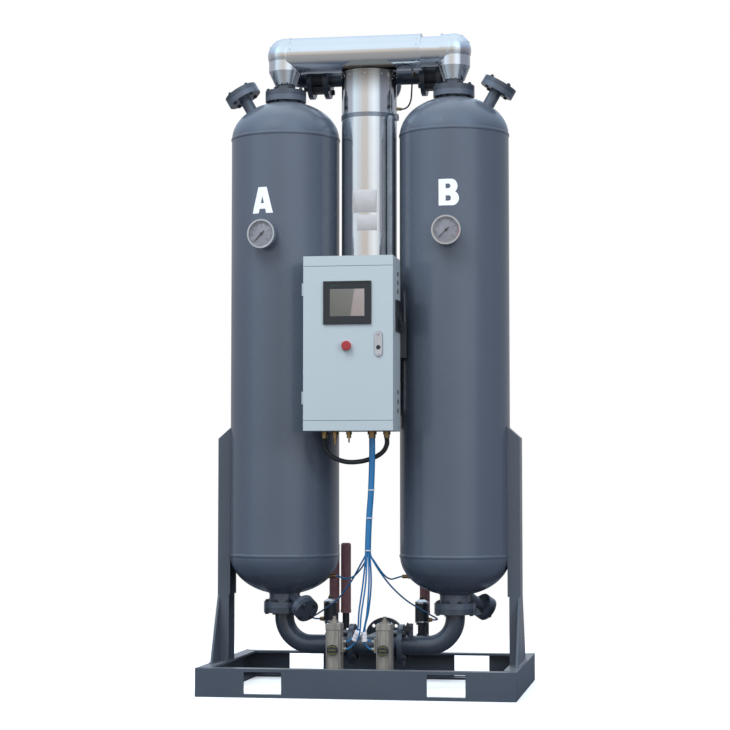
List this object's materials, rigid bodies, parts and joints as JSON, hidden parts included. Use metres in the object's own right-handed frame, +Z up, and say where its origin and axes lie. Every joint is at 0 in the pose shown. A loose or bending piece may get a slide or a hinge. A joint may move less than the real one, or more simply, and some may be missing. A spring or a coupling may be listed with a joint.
{
  "type": "desiccant air dryer",
  "caption": "Twin-tower desiccant compressed-air dryer on a channel skid, with clad heater, control cabinet and quarter-turn switching valves.",
  "frame": {"origin": "centre of the skid footprint, on the floor", "axes": "+X to the right facing the cabinet, +Y to the back, +Z up"},
  "size_m": [1.13, 0.81, 2.4045],
  "materials": {
    "tower_paint": "gloss blue-grey enamel",
    "polished_cladding": "polished stainless sheet over insulation",
    "zinc_steel": "bright zinc",
    "cabinet_paint": "fine textured light grey-blue powder coat",
    "black_metal": "satin black",
    "grey_alloy": "hard anodised grey",
    "black_plastic": "fine grain",
    "red_plastic": "gloss",
    "fitting_brass": "turned",
    "gauge_glass": "clear",
    "desiccant": "loose white beads",
    "silencer_red": "porous",
    "blue_tube": "smooth polyurethane",
    "black_rubber": "ribbed"
  },
  "bodies": {
    "frame": {"front_beam": "tower_paint", "rear_beam": "tower_paint", "left_beam": "tower_paint", "right_beam": "tower_paint", "left_upright": "tower_paint", "right_upright": "tower_paint", "vessel_a": "tower_paint", "vessel_b": "tower_paint", "desiccant_beds": "desiccant", "bed_screens": "zinc_steel", "port_covers": "tower_paint", "flange_bolts": "zinc_steel", "gauges": "zinc_steel", "gauge_lenses": "gauge_glass", "top_manifold": "tower_paint", "cladding_straight": "polished_cladding", "cladding_elbows": "polished_cladding", "outlet_header": "tower_paint", "check_valves": "black_metal", "heater_cladding": "polished_cladding", "heater_core": "grey_alloy", "heater_band": "zinc_steel", "heater_conduit": "zinc_steel", "purge_line": "tower_paint", "cabinet_body": "cabinet_paint", "mounting_plate": "zinc_steel", "control_modules": "black_plastic", "valve_island": "grey_alloy", "side_fan": "black_plastic", "cabinet_bracket": "black_metal", "fittings": "fitting_brass", "lower_pipes": "tower_paint", "inlet_tee": "tower_paint", "valve_bodies": "black_metal", "actuator_a": "grey_alloy", "actuator_b": "grey_alloy", "purge_valves": "black_metal", "silencer_set": "silencer_red", "tube_bundle": "blue_tube", "tube_a_top": "blue_tube", "tube_a_low": "blue_tube", "tube_b_top": "blue_tube", "tube_b_low": "blue_tube", "act_tube_a_high": "blue_tube", "act_tube_a_low": "blue_tube", "act_tube_b_high": "blue_tube", "act_tube_b_low": "blue_tube", "loop_conduit": "black_rubber", "sensor_cable": "black_rubber"},
    "door": {"cabinet_door": "cabinet_paint", "hmi_terminal": "black_plastic", "button_collar": "zinc_steel", "lock_plate": "zinc_steel"},
    "stop_button": {"stop_button": "red_plastic"},
    "lock_core": {"lock_core": "zinc_steel"},
    "pointer_a": {"pointer_a": "black_plastic"},
    "pointer_b": {"pointer_b": "black_plastic"},
    "valve_disc_a": {"valve_disc_a": "black_metal"},
    "valve_disc_b": {"valve_disc_b": "black_metal"},
    "bleed_knob": {"bleed_knob": "black_plastic"}
  },
  "joints": [
    {"name": "door_hinge", "type": "hinge", "parent": "frame", "child": "door", "pos_m": [-0.188, -0.36725, 1.24], "axis": [0, 0, -1], "range_deg": [0, 110]},
    {"name": "stop_button_press", "type": "slide", "parent": "door", "child": "stop_button", "axis": [0, 1, 0], "range_m": [0, 0.004], "stiffness_N_per_m": 900},
    {"name": "lock_turn", "type": "hinge", "parent": "door", "child": "lock_core", "pos_m": [0.086, -0.388, 1.223], "axis": [0, 1, 0], "range_deg": [0, 90]},
    {"name": "pointer_a_sweep", "type": "hinge", "parent": "frame", "child": "pointer_a", "pos_m": [-0.35473, -0.31087, 1.643], "axis": [0.1564, 0.9877, 0], "range_deg": [0, 270]},
    {"name": "pointer_b_sweep", "type": "hinge", "parent": "frame", "child": "pointer_b", "pos_m": [0.315, -0.314, 1.643], "axis": [0, 1, 0], "range_deg": [0, 270]},
    {"name": "valve_a_turn", "type": "hinge", "parent": "frame", "child": "valve_disc_a", "pos_m": [-0.09, -0.06, 0.162], "axis": [0, 1, 0], "range_deg": [0, 90]},
    {"name": "valve_b_turn", "type": "hinge", "parent": "frame", "child": "valve_disc_b", "pos_m": [0.09, -0.06, 0.162], "axis": [0, 1, 0], "range_deg": [0, 90]},
    {"name": "bleed_turn", "type": "hinge", "parent": "frame", "child": "bleed_knob", "pos_m": [0.15, -0.118, 0.228], "axis": [0, 1, 0], "range_deg": [0, 360]}
  ]
}
